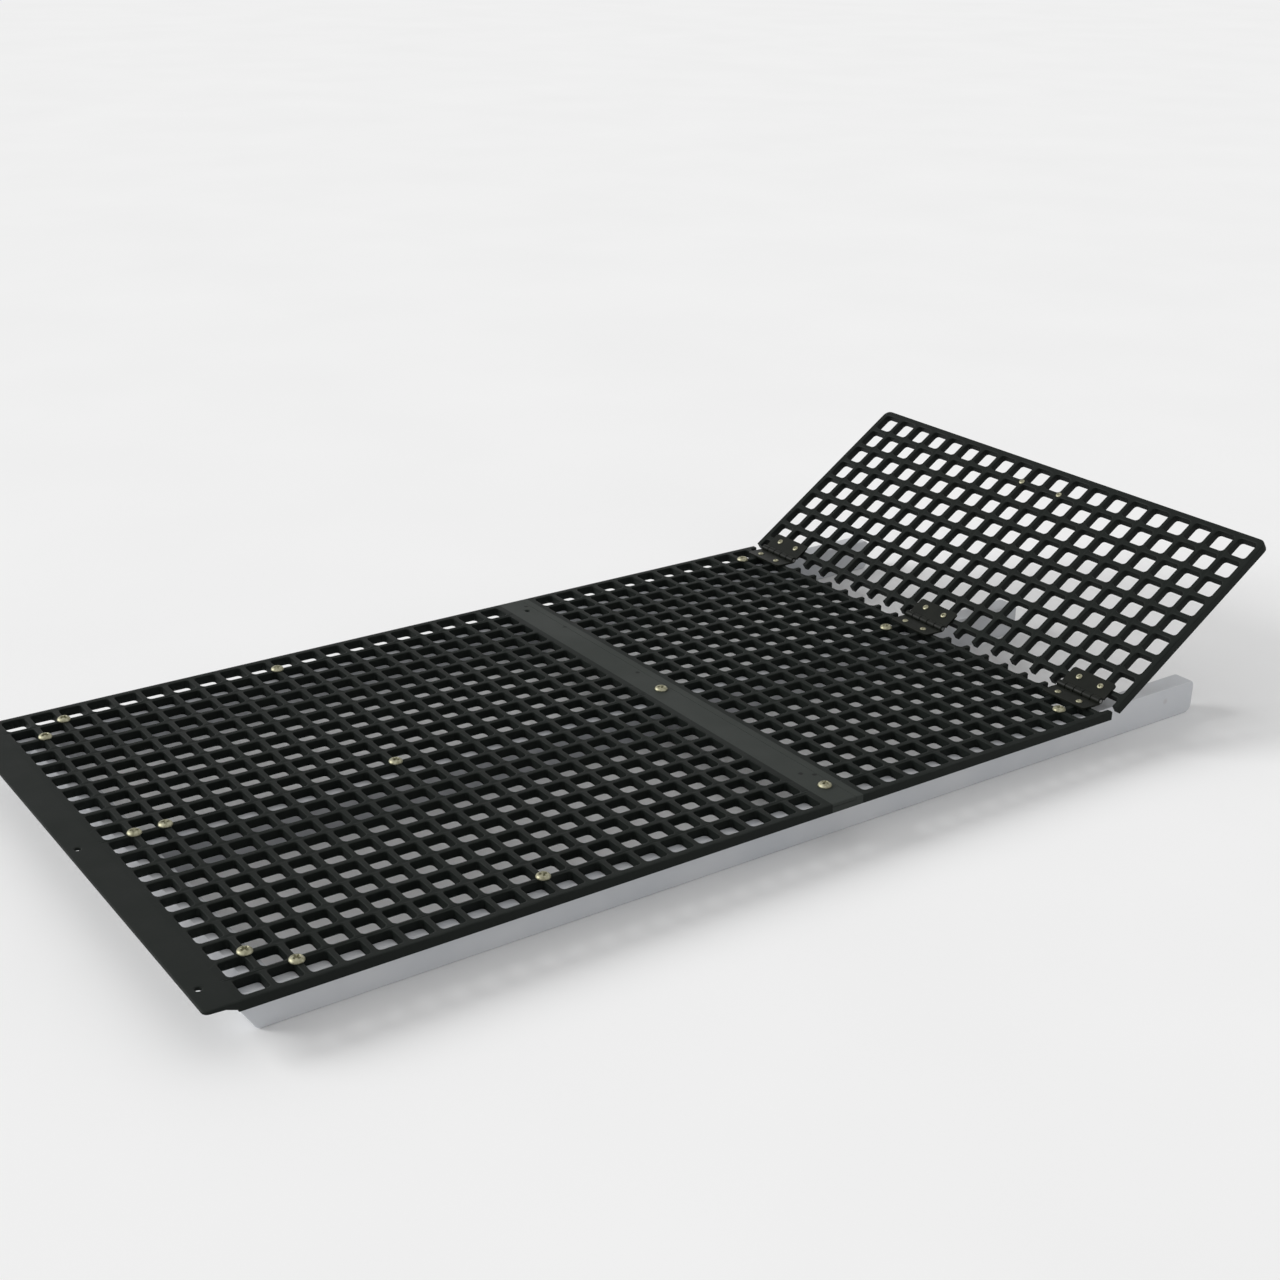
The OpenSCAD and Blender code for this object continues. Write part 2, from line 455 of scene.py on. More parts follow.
def sawn_lift(x, y):
    """Height of the sawn panel's underside above the underside of its bars."""
    if x > sawn_first_bar - rim_out - SLICE / 2 or is_cheek(y):
        return 0.0
    return grid_depth - 2 * LIP


def sawn_drop(x, y):
    """How far the sawn panel's top lies below the deck where it laps under the full panel."""
    return LIP if x < step_x + SLICE / 2 else saddle(x, y, sawn_first_bar, sawn_high.x + PITCH)


# The sawn panel's lap gets the same tint as the full panel's: its own lighter tone plus painted sheen.
def sawn_tone_and_sheen(x):
    return LAP_TONE_AND_SHEEN if x < sawn_first_bar - rim_out else 0.0


notched_rim = [(sawn_low.x, -half_width), (sawn_high.x + PITCH, -half_width),
               (sawn_high.x + PITCH, half_width), (sawn_low.x, half_width),
               (sawn_low.x, cheek_y), (tongue_x, cheek_y), (tongue_x, -cheek_y), (sawn_low.x, -cheek_y)]
sawn_mesh = plate("sawn_panel_detail",
                  [notched_rim] + lattice(sawn_first_bar, sawn_columns) + holes_at(sawn_first_bar - HOLE_IN),
                  grid_depth, MOULD_EDGE, MOULD_STEPS)
solid = bmesh.new()
solid.from_mesh(sawn_mesh)
for side in (-1, 1):
    for offset in (0, SLICE):
        lap = [f for f in solid.faces if min(v.co.x for v in f.verts) < sawn_first_bar - rim_out]
        slice_at(solid, (0, side * (cheek_y + offset), 0), (0, 1, 0), lap)
solid.to_mesh(sawn_mesh)
solid.free()
sawn_root = sawn_first_bar - rim_out
shape_faces(sawn_mesh, (step_x, step_x + SLICE, sawn_root - SLICE, sawn_root), sawn_lift, sawn_drop)
saw(sawn_mesh, sawn_high.x, -1)
mark_faces(sawn_mesh, sawn_tone_and_sheen)
finish_piece("sawn_panel_detail", sawn_mesh, Matrix.Translation((0, 0, deck_under)),
             "deck", "black_plastic", "sawn_panel")

# %% [markdown]
# ## The flap
#
# The flap is the strip that the saw took off. It is drawn level with the hinge pin at the
# origin, sawn on its left side, and then turned about the pin by the angle at which it
# stands. The joint in the record gives the pin's place, and the joint's lower limit, where
# the flap lies level, gives the angle.

# %% Build the flap
SAW_TO_PIN = 2.2
KERF = 1.4
FLAP_R = 7.0
FLAP_TOP = -2.8
FLAP_COLUMNS = 8

joint = frame["joints"][0]
pin_at = Vector(joint["pos_m"]) * METRE
flap_angle = math.radians(-joint["range_deg"][0])
at_pin = Matrix.Translation(pin_at)
at_flap = at_pin @ Matrix.Rotation(-flap_angle, 4, "Y")

flap_first_bar = SAW_TO_PIN + (PITCH - KERF) / 2
flap_end = flap_first_bar + FLAP_COLUMNS * PITCH + rim_out
flap_rim = rounded_rectangle((flap_first_bar - PITCH - TRIM, -half_width), (flap_end, half_width),
                             (0, FLAP_R, FLAP_R, 0))
flap_mesh = plate("flap_panel_detail", [flap_rim] + lattice(flap_first_bar - PITCH, FLAP_COLUMNS + 1),
                  grid_depth, MOULD_EDGE, MOULD_STEPS)
shape_faces(flap_mesh, drop_top=lambda x, y: saddle(x, y, flap_first_bar - PITCH, flap_end - rim_out))
saw(flap_mesh, SAW_TO_PIN, 1)
mark_faces(flap_mesh)
flap_place = at_flap @ Matrix.Translation((0, 0, FLAP_TOP - grid_depth))
finish_piece("flap_panel_detail", flap_mesh, flap_place, "flap", "black_plastic", "flap_panel")
flap_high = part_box("flap_panel")[1] * METRE
print(f"flap stands at {math.degrees(flap_angle):.1f} degrees, its edge {flap_high.z:.0f} mm up")

# %% [markdown]
# ## The rails and the batten
#
# The rails are square-cut bars, rounded at the far end and slanted at the near one. A rail's
# side view is an outline like any other, so the same plate helper makes it: it is drawn in
# the plane of the floor and stood up on its edge. The middle rail has no slant, because it
# butts against the batten that joins the outer two.

# %% Build the rails and the batten
RAIL_EDGE = 1.2
SLANT = 20.0
FOOT_R = 6.0
TOE_R = 8.0
NOSE_R = 6.0


def corner_arc(before, corner, after, radius, steps=6):
    """Points that round the corner of an outline with the given radius."""
    before, corner, after = Vector(before), Vector(corner), Vector(after)
    to_before, to_after = (before - corner).normalized(), (after - corner).normalized()
    half = to_before.angle(to_after) / 2
    reach = radius / math.tan(half)
    centre = corner + (to_before + to_after).normalized() * radius / math.sin(half)
    start, end = corner + to_before * reach - centre, corner + to_after * reach - centre
    turn = end.angle_signed(start)
    spin = [Matrix.Rotation(turn * k / steps, 2) for k in range(steps + 1)]
    return [tuple(centre + s @ start) for s in spin]


def rail_outline(low, high, slanted):
    """Side view of a rail: x along it, y up."""
    tail, nose, top = low.x, high.x, high.z
    foot = tail + (SLANT if slanted else 0)
    corners = [((tail, top), (foot, 0), (nose, 0), FOOT_R if slanted else 0),
               ((foot, 0), (nose, 0), (nose, top), TOE_R),
               ((nose, 0), (nose, top), (tail, top), NOSE_R)]
    points = [(tail, top)]
    for before, corner, after, radius in corners:
        points += corner_arc(before, corner, after, radius) if radius else [corner]
    return points


def stand_up(y):
    """Turns a plate drawn on the floor up about X, so that its face lies at y and it reaches to +Y."""
    turn = Matrix.Rotation(math.radians(90), 4, "X")
    return Matrix.Translation((0, y, 0)) @ turn @ Matrix.Scale(-1, 4, (0, 0, 1))


for node, slanted in (("near_rail", True), ("middle_rail", False), ("far_rail", True)):
    low, high = box_mm(node)
    mesh = plate(node + "_detail", [rail_outline(low, high, slanted)], high.y - low.y, RAIL_EDGE)
    mark_faces(mesh)
    finish_piece(node + "_detail", mesh, stand_up(low.y), "deck", "grey_plastic", node)

low, high = box_mm("end_batten")
batten_face = [(low.x, low.z), (high.x, low.z), (high.x, high.z), (low.x, high.z)]
mesh = plate("end_batten_detail", [batten_face], high.y - low.y, RAIL_EDGE)
mark_faces(mesh)
finish_piece("end_batten_detail", mesh, stand_up(low.y), "deck", "grey_plastic", "end_batten")

# %% [markdown]
# ## The hinges
#
# Each hinge is two pressed leaves and a pin. A leaf is a plate whose outline has fingers
# that reach to the pin, and a tube closes the end of each finger. Both leaves come from one
# function: the deck leaf owns the first, third and fifth fingers and is turned to face left,
# and the flap leaf owns the second and fourth and turns with the flap.

# %% Helper that turns a profile about an axis
def turned(solid, profile, place, steps=32):
    """Adds a closed turned shape to a bmesh. The profile is (radius, height) from axis to axis."""
    rings = []
    for radius, height in profile:
        if radius == 0:
            rings.append([solid.verts.new(place @ Vector((0, 0, height)))])
            continue
        angles = [2 * math.pi * k / steps for k in range(steps)]
        rings.append([solid.verts.new(place @ Vector((radius * math.cos(a), radius * math.sin(a), height)))
                      for a in angles])
    for lower, upper in zip(rings, rings[1:]):
        for k in range(steps):
            corners = [lower[k % len(lower)], lower[(k + 1) % len(lower)],
                       upper[(k + 1) % len(upper)], upper[k % len(upper)]]
            solid.faces.new(list(dict.fromkeys(corners)))


trial = bmesh.new()
turned(trial, [(0, 1), (1, 1), (1, 0), (0, 0)], Matrix.Identity(4))
print("a turned disc has", len(trial.faces), "faces")
trial.free()

# %% Build the hinges
LEAF_T = 2.0
LEAF_EDGE = 0.3
LEAF_R = 3.0
KNUCKLE_R = 3.2
KNUCKLES = 5
KNUCKLE_GAP = 0.4
HINGE_HOLE_R = 2.2
TUBE_EDGE = 0.4
TUBE_STEPS = 30
TUBE_MERGE = 0.001
PIN_R = 1.5
SCREW_FROM_PIN = flap_first_bar

hinge_names = ("near", "middle", "far")
leaf_low, leaf_high = box_mm("near_deck_leaf")
hinge_width = leaf_high.y - leaf_low.y
leaf_reach = pin_at.x - leaf_low.x
finger = hinge_width / KNUCKLES


def leaf_outline(own):
    """Outline of a leaf that reaches along +X, with fingers of parity own that reach to the pin."""
    root = KNUCKLE_R + KNUCKLE_GAP
    half = hinge_width / 2
    points = arc((leaf_reach - LEAF_R, -half + LEAF_R), LEAF_R, -90, 0, 5)
    points += arc((leaf_reach - LEAF_R, half - LEAF_R), LEAF_R, 0, 90, 5)
    for k in reversed(range(KNUCKLES)):
        low, high = -half + k * finger, -half + (k + 1) * finger
        if k % 2 == own:
            top = high if k == KNUCKLES - 1 else high - KNUCKLE_GAP / 2
            foot = low if k == 0 else low + KNUCKLE_GAP / 2
            points += [(root, top), (0, top), (0, foot), (root, foot)]
        elif k == KNUCKLES - 1:
            points.append((root, high))
        elif k == 0:
            points.append((root, low))
    return points


def build_leaf(name, own, base):
    """Mesh of a leaf whose pin runs along Y through the origin and whose underside is at z = base."""
    holes = [circle((SCREW_FROM_PIN, s * PITCH / 2), HINGE_HOLE_R) for s in (-1, 1)]
    mesh = plate(name, [leaf_outline(own)] + holes, LEAF_T, LEAF_EDGE)
    mark_faces(mesh)
    mesh.transform(Matrix.Translation((0, 0, base)))
    solid = bmesh.new()
    solid.from_mesh(mesh)
    length = finger - KNUCKLE_GAP
    for k in range(own, KNUCKLES, 2):
        middle = (k + 0.5 - KNUCKLES / 2) * finger
        place = Matrix.Translation((0, middle, 0)) @ Matrix.Rotation(math.radians(-90), 4, "X")
        profile = [(PIN_R, -length / 2), (KNUCKLE_R - TUBE_EDGE, -length / 2),
                   (KNUCKLE_R, TUBE_EDGE - length / 2), (KNUCKLE_R, length / 2 - TUBE_EDGE),
                   (KNUCKLE_R - TUBE_EDGE, length / 2), (PIN_R, length / 2), (PIN_R, -length / 2)]
        turned(solid, profile, place, TUBE_STEPS)
    bmesh.ops.remove_doubles(solid, verts=solid.verts, dist=TUBE_MERGE)
    solid.to_mesh(mesh)
    solid.free()
    return mesh


for name in hinge_names:
    low, high = box_mm(name + "_deck_leaf")
    across = Matrix.Translation((0, (low.y + high.y) / 2, 0))
    deck_leaf = build_leaf(name + "_deck_leaf_detail", 0, low.z - pin_at.z)
    finish_piece(name + "_deck_leaf_detail", deck_leaf, across @ at_pin @ Matrix.Rotation(math.pi, 4, "Z"),
                 "deck", "black_hinge", name + "_deck_leaf")
    flap_leaf = build_leaf(name + "_flap_leaf_detail", 1, FLAP_TOP)
    finish_piece(name + "_flap_leaf_detail", flap_leaf, across @ at_flap,
                 "flap", "black_hinge", name + "_flap_leaf")

# %% [markdown]
# ## The screws
#
# The screws are pan heads with a cross recess. One head is turned from a profile, and the
# recess is a real cut, made once with a boolean. Every screw is then a copy of that mesh,
# set down at its crossing and turned by a different angle. The angle steps by the golden
# angle, so no two neighbours line up and the result is the same in every run. Screws of a
# kind are joined into one piece, because a bar and its screws are handled together.

# %% Helper that makes one screw head
PAN = ((0, 1), (0.45, 0.97), (0.72, 0.84), (0.9, 0.6), (1, 0.28), (1, 0.12),
       (0.96, 0), (0.4, 0), (0.36, -1), (0, -1))
HEAD_STEPS = 28
ARM = 0.66
SLOT = 0.2
SLOT_FLOOR = 0.11
ARM_FLOOR = 0.35
RECESS_TOP = 1.1
RECESS_FLOOR = 0.15


def screw_head(head_r, height):
    """Mesh of a pan head that stands on z = 0, with a cross recess and a short shank."""
    solid = bmesh.new()
    profile = [(r * head_r, z * height) for r, z in PAN]
    turned(solid, profile, Matrix.Identity(4), HEAD_STEPS)
    bmesh.ops.recalc_face_normals(solid, faces=solid.faces)
    head = bpy.data.objects.new("head", bpy.data.meshes.new("head"))
    solid.to_mesh(head.data)
    solid.free()
    scene.collection.objects.link(head)
    recess = bmesh.new()
    arm, slot_w, floor_w = ARM * head_r, SLOT * head_r, SLOT_FLOOR * head_r
    short = ARM_FLOOR * arm
    for turn in (0, 90):
        spin = Matrix.Rotation(math.radians(turn), 4, "Z")
        top = [(-arm, -slot_w), (arm, -slot_w), (arm, slot_w), (-arm, slot_w)]
        low = [(-short, -floor_w), (short, -floor_w), (short, floor_w), (-short, floor_w)]
        upper = [recess.verts.new(spin @ Vector((x, y, RECESS_TOP * height))) for x, y in top]
        lower = [recess.verts.new(spin @ Vector((x, y, RECESS_FLOOR * height))) for x, y in low]
        recess.faces.new(upper)
        recess.faces.new(lower[::-1])
        for k in range(4):
            recess.faces.new((upper[k], lower[k], lower[(k + 1) % 4], upper[(k + 1) % 4]))
    bmesh.ops.recalc_face_normals(recess, faces=recess.faces)
    cutter = bpy.data.objects.new("cutter", bpy.data.meshes.new("cutter"))
    recess.to_mesh(cutter.data)
    recess.free()
    scene.collection.objects.link(cutter)
    cut = head.modifiers.new("cross recess", "BOOLEAN")
    cut.object = cutter
    cut.operation = "DIFFERENCE"
    cut.use_self = True
    bpy.context.view_layer.update()
    shown = head.evaluated_get(bpy.context.evaluated_depsgraph_get())
    mesh = bpy.data.meshes.new_from_object(shown)
    bpy.data.objects.remove(head)
    bpy.data.objects.remove(cutter)
    return mesh


def set_screws(name, head, places, body):
    """Joins copies of a head, one at each place, into a piece. Places are matrices in millimetres."""
    solid = bmesh.new()
    for number, place in enumerate(places):
        turn = Matrix.Rotation(math.radians(GOLDEN_ANGLE * number + TURN_START), 4, "Z")
        copy = head.copy()
        copy.transform(place @ turn)
        solid.from_mesh(copy)
        bpy.data.meshes.remove(copy)
    mesh = bpy.data.meshes.new(name)
    solid.to_mesh(mesh)
    solid.free()
    return finish_piece(name, mesh, Matrix.Identity(4), body, "zinc")

# %% Set the screws
GOLDEN_ANGLE = 137.5
TURN_START = 20.0
NEAR_SCREW_ROW = 0.85
DECK_HEAD_R = 5.8
DECK_HEAD_H = 3.2
HINGE_HEAD_R = 3.0
HINGE_HEAD_H = 1.2
BATTEN_ROWS = (2, 10, 18)
SAWN_SCREW_COLUMN = 10
FLAP_SCREW_COLUMN = 7
FLAP_SCREW_ROWS = (9, 11)

deck_head = screw_head(DECK_HEAD_R, DECK_HEAD_H)
hinge_head = screw_head(HINGE_HEAD_R, HINGE_HEAD_H)
print("faces of a deck head and a hinge head:", len(deck_head.polygons), len(hinge_head.polygons))


def bar_y(j):
    """Place across the deck of bar j, counted from the near edge."""
    return (j - COLUMNS / 2) * PITCH


def on_deck(x, j):
    return Matrix.Translation((x, bar_y(j), deck_top))


panel_rows = (1, 10, 19)
full_rows = {2: (NEAR_SCREW_ROW, 10, 19), 10: panel_rows}
full_places = [on_deck(full_first_bar + i * PITCH, j) for i, rows in full_rows.items() for j in rows]
set_screws("full_panel_screws", deck_head, full_places, "deck")
batten_places = [on_deck(full_first_bar + PITCH, j) for j in BATTEN_ROWS]
set_screws("batten_screws", deck_head, batten_places, "deck")
set_screws("lap_screws", deck_head, [on_deck(0, j) for j in panel_rows[:2]], "deck")
sawn_places = [on_deck(sawn_first_bar + SAWN_SCREW_COLUMN * PITCH, j) for j in panel_rows]
set_screws("sawn_panel_screws", deck_head, sawn_places, "deck")

hinge_rows = ((1, 2), (9, 10), (18, 19))
for name, rows in zip(hinge_names, hinge_rows):
    leaf_top = deck_top + LEAF_T
    deck_side = [Matrix.Translation((pin_at.x - SCREW_FROM_PIN, bar_y(j), leaf_top)) for j in rows]
    flap_side = [at_flap @ Matrix.Translation((SCREW_FROM_PIN, bar_y(j), FLAP_TOP + LEAF_T)) for j in rows]
    set_screws(name + "_deck_leaf_screws", hinge_head, deck_side, "deck")
    set_screws(name + "_flap_leaf_screws", hinge_head, flap_side, "flap")
flap_screw_x = flap_first_bar + FLAP_SCREW_COLUMN * PITCH
flap_places = [at_flap @ Matrix.Translation((flap_screw_x, bar_y(j), FLAP_TOP)) for j in FLAP_SCREW_ROWS]
set_screws("flap_screws", hinge_head, flap_places, "flap")

# %% [markdown]
# ## Effects that the materials share
#
# Moulded plastic, painted metal and plated screws all show the same few things: a fine
# grain, edges that are rubbed bright, and dust on what faces up. Each effect is a node group
# that is built once. A material places it with its own values, and joins what comes out to
# its own shader, so a change to the group is seen everywhere.

# %% Helpers for node trees
def new_group(name, inputs, outputs):
    """Empty shader node group. Inputs maps each name to its default: a number, or three for a place."""
    tree = bpy.data.node_groups.new(name, "ShaderNodeTree")
    for socket, value in inputs.items():
        kind = "NodeSocketVector" if isinstance(value, tuple) else "NodeSocketFloat"
        tree.interface.new_socket(socket, in_out="INPUT", socket_type=kind).default_value = value
    for socket in outputs:
        tree.interface.new_socket(socket, in_out="OUTPUT", socket_type="NodeSocketFloat")
    return tree, tree.nodes.new("NodeGroupInput"), tree.nodes.new("NodeGroupOutput")


def math_node(tree, operation, first, second):
    """Socket that holds the result of a sum on two sockets or numbers."""
    node = tree.nodes.new("ShaderNodeMath")
    node.operation = operation
    for socket, value in zip(node.inputs, (first, second)):
        if isinstance(value, (int, float)):
            socket.default_value = value
        else:
            tree.links.new(value, socket)
    return node.outputs["Value"]


def noise_node(tree, vector, scale, detail):
    """Socket with the grey value of a noise texture."""
    node = tree.nodes.new("ShaderNodeTexNoise")
    node.inputs["Detail"].default_value = detail
    tree.links.new(vector, node.inputs["Vector"])
    if isinstance(scale, (int, float)):
        node.inputs["Scale"].default_value = scale
    else:
        tree.links.new(scale, node.inputs["Scale"])
    return node.outputs["Fac"]


def remap(tree, value, low, high, to_low=0.0, to_high=1.0):
    """Socket with value stretched from low..high to the new range, and held inside it."""
    node = tree.nodes.new("ShaderNodeMapRange")
    node.inputs["From Min"].default_value = low
    node.inputs["From Max"].default_value = high
    node.inputs["To Min"].default_value = to_low
    node.inputs["To Max"].default_value = to_high
    tree.links.new(value, node.inputs["Value"])
    return node.outputs["Result"]


def mix_colours(tree, factor, first, second):
    """Socket with a colour between first and second. Each is a socket or three numbers."""
    node = tree.nodes.new("ShaderNodeMix")
    node.data_type = "RGBA"
    tree.links.new(factor, node.inputs["Factor"])
    colours = [s for s in node.inputs if s.type == "RGBA"]
    for socket, value in zip(colours, (first, second)):
        if isinstance(value, tuple):
            socket.default_value = (*value, 1)
        else:
            tree.links.new(value, socket)
    return next(s for s in node.outputs if s.type == "RGBA")


print("helpers: new_group, math_node, noise_node, remap, mix_colours")

# %% Build the shared effects
SPECK_SCALE = 1400.0
SPECK_SHARE = 0.6
RAGGED_SCALE = 450.0

grain, start, end = new_group("grain", {"Fine Scale": 900.0, "Patch Scale": 14.0}, ("Height", "Patches"))
place = grain.nodes.new("ShaderNodeTexCoord").outputs["Object"]
fine = noise_node(grain, place, start.outputs["Fine Scale"], 3.0)
grain.links.new(fine, end.inputs["Height"])
patches = noise_node(grain, place, start.outputs["Patch Scale"], 4.0)
grain.links.new(remap(grain, patches, 0.35, 0.65), end.inputs["Patches"])

wear, start, end = new_group("edge wear", {"Amount": 0.5, "Scale": 60.0}, ("Worn",))
place = wear.nodes.new("ShaderNodeTexCoord").outputs["Object"]
edge = wear.nodes.new("ShaderNodeAttribute")
edge.attribute_name = "edge"
broken = remap(wear, noise_node(wear, place, start.outputs["Scale"], 5.0), 0.4, 0.62)
worn = math_node(wear, "MULTIPLY", math_node(wear, "MULTIPLY", edge.outputs["Fac"], broken),
                 start.outputs["Amount"])
wear.links.new(worn, end.inputs["Worn"])

dust, start, end = new_group("dust", {"Amount": 0.2, "Scale": 30.0}, ("Dust",))
coordinates = dust.nodes.new("ShaderNodeTexCoord")
normal = dust.nodes.new("ShaderNodeSeparateXYZ")
dust.links.new(coordinates.outputs["Normal"], normal.inputs["Vector"])
facing_up = remap(dust, normal.outputs["Z"], 0.5, 0.95)
drift = remap(dust, noise_node(dust, coordinates.outputs["Object"], start.outputs["Scale"], 6.0), 0.42, 0.7)
speck = remap(dust, noise_node(dust, coordinates.outputs["Object"], SPECK_SCALE, 1.0), 0.5, 0.75)
speckled = math_node(dust, "ADD", math_node(dust, "MULTIPLY", speck, SPECK_SHARE), 1 - SPECK_SHARE)
layer = math_node(dust, "MULTIPLY", drift, speckled)
settled = math_node(dust, "MULTIPLY", math_node(dust, "MULTIPLY", facing_up, layer), start.outputs["Amount"])
dust.links.new(settled, end.inputs["Dust"])

smudge, start, end = new_group("smudge", {"Centre": (0.0, 0.0, 0.0), "Radius": 0.003}, ("Mask",))
place = smudge.nodes.new("ShaderNodeTexCoord").outputs["Object"]
reach = smudge.nodes.new("ShaderNodeVectorMath")
reach.operation = "DISTANCE"
smudge.links.new(place, reach.inputs[0])
smudge.links.new(start.outputs["Centre"], reach.inputs[1])
radii_away = math_node(smudge, "DIVIDE", reach.outputs["Value"], start.outputs["Radius"])
ragged = math_node(smudge, "ADD", radii_away, noise_node(smudge, place, RAGGED_SCALE, 3.0))
smudge.links.new(remap(smudge, ragged, 1.0, 1.6, 1.0, 0.0), end.inputs["Mask"])
print("shared effects:", ", ".join(g.name for g in (grain, wear, dust, smudge)))

# %% [markdown]
# ## The materials
#
# A colour is mixed in layers from the bottom up: the bare material in two close tones that
# follow the patches of the grain, then the rubbed edges, then the dust. Roughness follows
# the same masks, because a rubbed edge is smoother and dust is dull. What is the same all
# over, such as how metallic a surface is, is set on the shader's own socket.

# %% Helpers that build a layered material
PATCH_ROUGHNESS = 0.06
WORN_SMOOTHER = 0.12
DUST_DULLER = 0.4


def layered_material(name, tones, rubbed, dusty, roughness, fine=900.0, patch=14.0, wear_amount=0.5,
                     dust_amount=0.2, bump=0.00008):
    """Material with its shader and its colour socket. Tones are two colours of the bare surface."""
    material = bpy.data.materials.new(name)
    material.use_nodes = True
    tree = material.node_tree
    shader = tree.nodes["Principled BSDF"]
    groups = {}
    for group, values in ((grain, {"Fine Scale": fine, "Patch Scale": patch}),
                          (wear, {"Amount": wear_amount}), (dust, {"Amount": dust_amount})):
        node = tree.nodes.new("ShaderNodeGroup")
        node.node_tree = group
        for socket, value in values.items():
            node.inputs[socket].default_value = value
        groups[group.name] = node
    patches = groups["grain"].outputs["Patches"]
    worn, settled = groups["edge wear"].outputs["Worn"], groups["dust"].outputs["Dust"]
    colour = mix_colours(tree, patches, *tones)
    colour = mix_colours(tree, worn, colour, rubbed)
    colour = mix_colours(tree, settled, colour, dusty)
    tree.links.new(colour, shader.inputs["Base Color"])
    dull = remap(tree, patches, 0, 1, roughness - PATCH_ROUGHNESS, roughness + PATCH_ROUGHNESS)
    dull = math_node(tree, "SUBTRACT", dull, math_node(tree, "MULTIPLY", worn, WORN_SMOOTHER))
    dull = math_node(tree, "ADD", dull, math_node(tree, "MULTIPLY", settled, DUST_DULLER))
    tree.links.new(dull, shader.inputs["Roughness"])
    relief = tree.nodes.new("ShaderNodeBump")
    relief.inputs["Distance"].default_value = bump
    tree.links.new(groups["grain"].outputs["Height"], relief.inputs["Height"])
    tree.links.new(relief.outputs["Normal"], shader.inputs["Normal"])
    return material, shader


def tint(material, mask, colour):
    """Mixes a colour over what the material's shader already shows, by a mask."""
    tree = material.node_tree
    base = tree.nodes["Principled BSDF"].inputs["Base Color"]
    tree.links.new(mix_colours(tree, mask, base.links[0].from_socket, colour), base)


def marked_place(material, centre_mm, radius_mm, strength):
    """Mask of one smudge. The centre and radius are in millimetres."""
    tree = material.node_tree
    node = tree.nodes.new("ShaderNodeGroup")
    node.node_tree = smudge
    node.inputs["Centre"].default_value = [x / METRE for x in centre_mm]
    node.inputs["Radius"].default_value = radius_mm / METRE
    return math_node(tree, "MULTIPLY", node.outputs["Mask"], strength)

# %% Build the black plastic
# Colour laid over the smooth margins: their own lighter tone together with painted sheen for the brighter
# reflection the lap catches.
MARGIN_TONE_AND_SHEEN = (0.036, 0.041, 0.037)
LAP_MARK_TONE = (0.004, 0.004, 0.004)
LAP_MARK_R = 2.5
LAP_MARK_STRENGTH = 0.8
LAP_MARKS = ((20.97, 19.4), (21.09, 16.8), (20.94, 11.7), (20.68, 2.1), (21.02, 1.8))

black_plastic, shader = layered_material(
    "black moulded plastic", tones=((0.0046, 0.0066, 0.0054), (0.0068, 0.0092, 0.0077)),
    rubbed=(0.016, 0.020, 0.017), dusty=(0.08, 0.08, 0.075), roughness=0.6,
    wear_amount=0.4, dust_amount=0.08)
shader.inputs["Specular IOR Level"].default_value = 0.12
# Painted sheen: the 'margin' attribute tints the margins lighter, the lap most, over their own lighter tone.
margin = black_plastic.node_tree.nodes.new("ShaderNodeAttribute")
margin.attribute_name = "margin"
tint(black_plastic, margin.outputs["Fac"], MARGIN_TONE_AND_SHEEN)
for column, row in LAP_MARKS:
    spot = (full_first_bar + column * PITCH, (row - COLUMNS / 2) * PITCH, deck_top)
    tint(black_plastic, marked_place(black_plastic, spot, LAP_MARK_R, LAP_MARK_STRENGTH), LAP_MARK_TONE)
print(f"{black_plastic.name} with {len(LAP_MARKS)} small marks on the lap")

# %% Build the grey of the rails
MARK_FROM_NOSE = 38.0
MARK_HEIGHT = 0.6
RAIL_MARK_TONE = (0.38, 0.33, 0.32)
RAIL_MARK_R = 3.2
RAIL_MARK_STRENGTH = 0.3

grey_plastic, shader = layered_material(
    "grey rail", tones=((0.58, 0.60, 0.63), (0.67, 0.68, 0.70)), rubbed=(0.74, 0.74, 0.75),
    dusty=(0.46, 0.44, 0.41), roughness=0.55, fine=700.0, patch=9.0, wear_amount=0.3, dust_amount=0.3)
shader.inputs["Specular IOR Level"].default_value = 0.35
rail_mark = (rail_high.x - MARK_FROM_NOSE, rail_low.y, rail_high.z * MARK_HEIGHT)
tint(grey_plastic, marked_place(grey_plastic, rail_mark, RAIL_MARK_R, RAIL_MARK_STRENGTH), RAIL_MARK_TONE)
print(f"{grey_plastic.name} with one smudge {MARK_FROM_NOSE:.0f} mm from the rail's end")

# %% Build the metals
black_hinge, shader = layered_material(
    "black hinge", tones=((0.0050, 0.0062, 0.0045), (0.0078, 0.0090, 0.0065)),
    rubbed=(0.02, 0.021, 0.018), dusty=(0.04, 0.04, 0.035), roughness=0.45,
    fine=1200.0, patch=60.0, wear_amount=0.5, dust_amount=0.1)
shader.inputs["Specular IOR Level"].default_value = 0.12

zinc, shader = layered_material(
    "zinc plated screw", tones=((0.22, 0.21, 0.14), (0.42, 0.41, 0.30)), rubbed=(0.5, 0.49, 0.4),
    dusty=(0.16, 0.15, 0.12), roughness=0.5, fine=1500.0, patch=380.0, dust_amount=0.3, bump=0.00003)
shader.inputs["Metallic"].default_value = 1.0

pin_steel, shader = layered_material(
    "hinge pin", tones=((0.28, 0.28, 0.27), (0.4, 0.4, 0.39)), rubbed=(0.5, 0.5, 0.49),
    dusty=(0.2, 0.19, 0.18), roughness=0.4, fine=1500.0, patch=120.0, bump=0.00003)
shader.inputs["Metallic"].default_value = 1.0

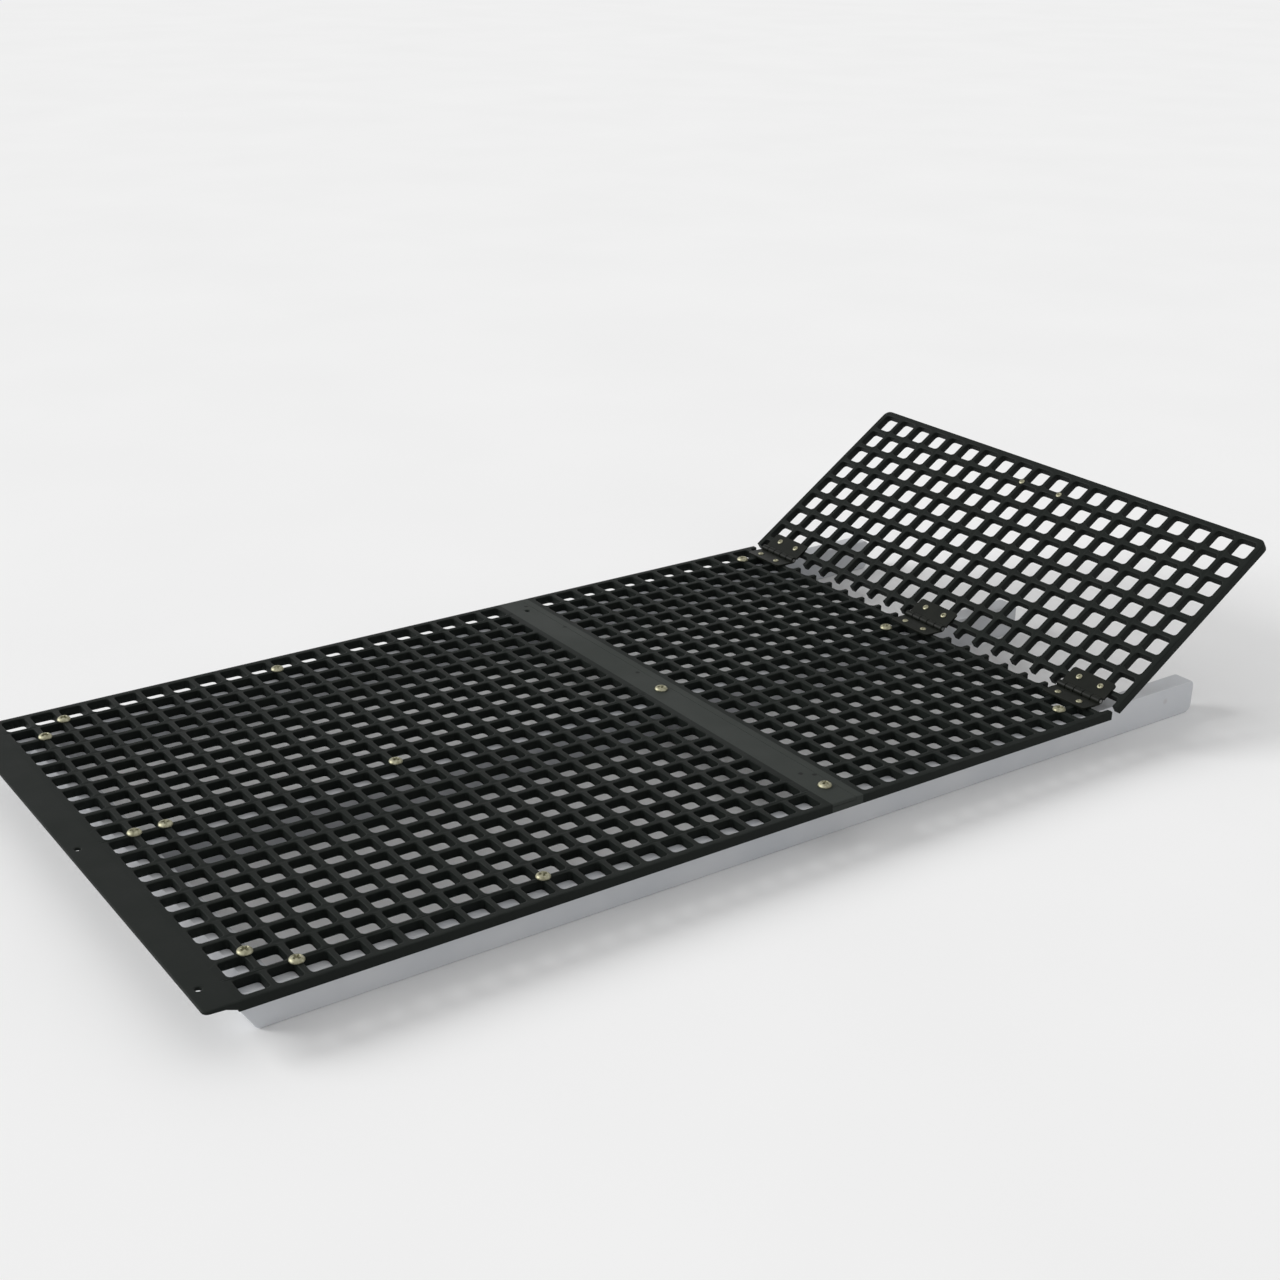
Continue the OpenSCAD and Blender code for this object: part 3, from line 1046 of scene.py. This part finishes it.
finishes = {"black_plastic": black_plastic, "grey_plastic": grey_plastic, "black_hinge": black_hinge,
            "zinc": zinc, "hinge_pin": pin_steel}
for name, slot in finish_of.items():
    piece = bpy.data.objects[name]
    piece.data.materials.clear()
    piece.data.materials.append(finishes[slot])
print("materials:", ", ".join(m.name for m in finishes.values()))

# %% [markdown]
# ## Floor and light
#
# The deck lies on a plain pale floor that runs out of the frame on every side. A soft sun
# from the left and behind models the bars, and a plain sky fills the rest. A sun is used
# and not a lamp, because it lights near and far floor alike, so no edge of light shows. The
# sky looks brighter than it shines: where it is seen or mirrored it comes close to the
# floor's own level, which keeps the horizon faint.

# %% Lay the floor and set the lights
FLOOR_REACH = 30.0
FLOOR_TONES = ((0.95, 0.95, 0.95), (0.97, 0.97, 0.97))
FLOOR_ROUGHNESS = 0.95
CLOUD_SCALE = 3.0
SUN_STRENGTH = 2.1
SUN_ANGLE = 25.0
SUN_FROM = Vector((-0.65, 0.5, 0.42))
SKY_STRENGTH = 0.6
SKY_SEEN = 0.89

floor_mesh = bpy.data.meshes.new("floor")
corners = [(x * FLOOR_REACH, y * FLOOR_REACH, 0) for x, y in ((-1, -1), (1, -1), (1, 1), (-1, 1))]
floor_mesh.from_pydata(corners, [], [(0, 1, 2, 3)])
floor = bpy.data.objects.new("floor", floor_mesh)
scene.collection.objects.link(floor)
floor_paint = bpy.data.materials.new("pale floor")
floor_paint.use_nodes = True
tree = floor_paint.node_tree
floor_shader = tree.nodes["Principled BSDF"]
place = tree.nodes.new("ShaderNodeTexCoord").outputs["Object"]
cloudy = remap(tree, noise_node(tree, place, CLOUD_SCALE, 3.0), 0.3, 0.7)
tree.links.new(mix_colours(tree, cloudy, *FLOOR_TONES), floor_shader.inputs["Base Color"])
floor_shader.inputs["Roughness"].default_value = FLOOR_ROUGHNESS
floor_shader.inputs["Specular IOR Level"].default_value = 0.0
floor_mesh.materials.append(floor_paint)

sun_data = bpy.data.lights.new("sun", "SUN")
sun_data.energy = SUN_STRENGTH
sun_data.angle = math.radians(SUN_ANGLE)
sun = bpy.data.objects.new("sun", sun_data)
sun.rotation_euler = SUN_FROM.to_track_quat("Z", "Y").to_euler()
scene.collection.objects.link(sun)

sky = bpy.data.worlds.new("sky")
sky.use_nodes = True
scene.world = sky
background = sky.node_tree.nodes["Background"]
background.inputs["Color"].default_value = (1, 1, 1, 1)
path = sky.node_tree.nodes.new("ShaderNodeLightPath")
seen = math_node(sky.node_tree, "MAXIMUM", path.outputs["Is Camera Ray"],
                 math_node(sky.node_tree, "MAXIMUM", path.outputs["Is Glossy Ray"],
                           path.outputs["Is Transmission Ray"]))
strength = remap(sky.node_tree, seen, 0, 1, SKY_STRENGTH, SKY_SEEN)
sky.node_tree.links.new(strength, background.inputs["Strength"])
scene.view_settings.view_transform = "Standard"
print(f"sun {SUN_STRENGTH}, sky {SKY_STRENGTH}, seen at {SKY_SEEN}")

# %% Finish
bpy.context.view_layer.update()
